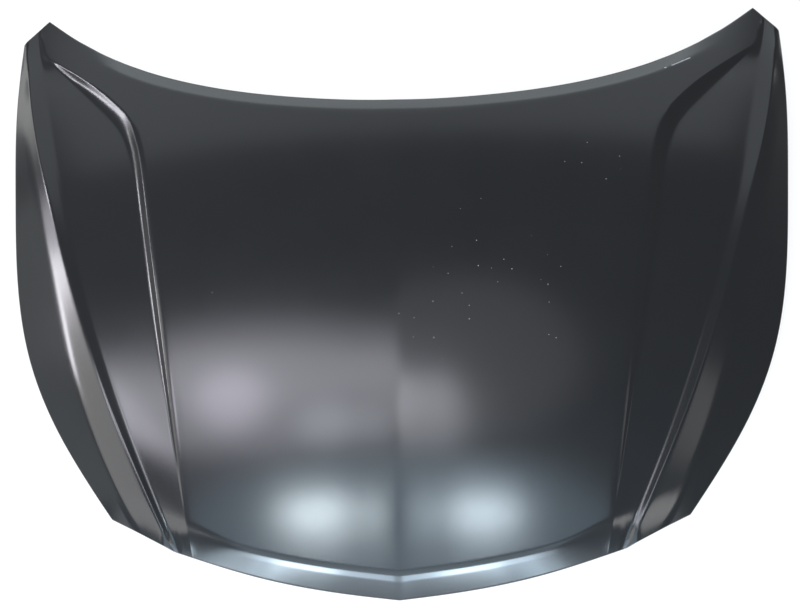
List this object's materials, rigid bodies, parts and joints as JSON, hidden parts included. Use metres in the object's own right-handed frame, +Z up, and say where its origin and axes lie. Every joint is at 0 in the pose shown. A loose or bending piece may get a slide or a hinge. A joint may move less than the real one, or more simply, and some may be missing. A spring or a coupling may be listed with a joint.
{
  "type": "car bonnet",
  "caption": "Curved steel car bonnet with a raised middle field, side ridges, turned-down nose and hemmed inner frame with hinge pads and a striker.",
  "frame": {"origin": "on the floor under the middle of the plan, with the bonnet lying outer side up", "axes": "+X to the bonnet's right half as seen from the nose looking back, +Y towards the cowl, +Z up out of the outer surface"},
  "size_m": [1.54, 1.189, 0.1215],
  "materials": {
    "satin_primer": "satin black primer over steel",
    "inner_primer": "dull black primer over steel",
    "zinc_steel": "zinc plated",
    "mastic": "dull anti-flutter mastic"
  },
  "bodies": {
    "root": {"outer_skin": "satin_primer", "inner_panel": "inner_primer", "hinge_reinforcement_left": "inner_primer", "hinge_nut_front_left": "zinc_steel", "hinge_nut_rear_left": "zinc_steel", "hinge_reinforcement_right": "inner_primer", "hinge_nut_front_right": "zinc_steel", "hinge_nut_rear_right": "zinc_steel", "striker_reinforcement": "inner_primer", "striker_nut_left": "zinc_steel", "striker_nut_right": "zinc_steel", "striker_plate": "zinc_steel", "striker_loop": "zinc_steel", "striker_bolt_left": "zinc_steel", "striker_bolt_right": "zinc_steel", "nose_stiffener": "inner_primer", "mastic_pad_left_1_1": "mastic", "mastic_pad_right_1_1": "mastic", "mastic_pad_left_1_2": "mastic", "mastic_pad_right_1_2": "mastic", "mastic_pad_left_1_3": "mastic", "mastic_pad_right_1_3": "mastic", "mastic_pad_left_2_1": "mastic", "mastic_pad_right_2_1": "mastic", "mastic_pad_left_2_2": "mastic", "mastic_pad_right_2_2": "mastic", "mastic_pad_left_2_3": "mastic", "mastic_pad_right_2_3": "mastic", "mastic_pad_left_3_1": "mastic", "mastic_pad_right_3_1": "mastic", "mastic_pad_left_3_2": "mastic", "mastic_pad_right_3_2": "mastic", "mastic_pad_left_3_3": "mastic", "mastic_pad_right_3_3": "mastic"}
  },
  "joints": []
}
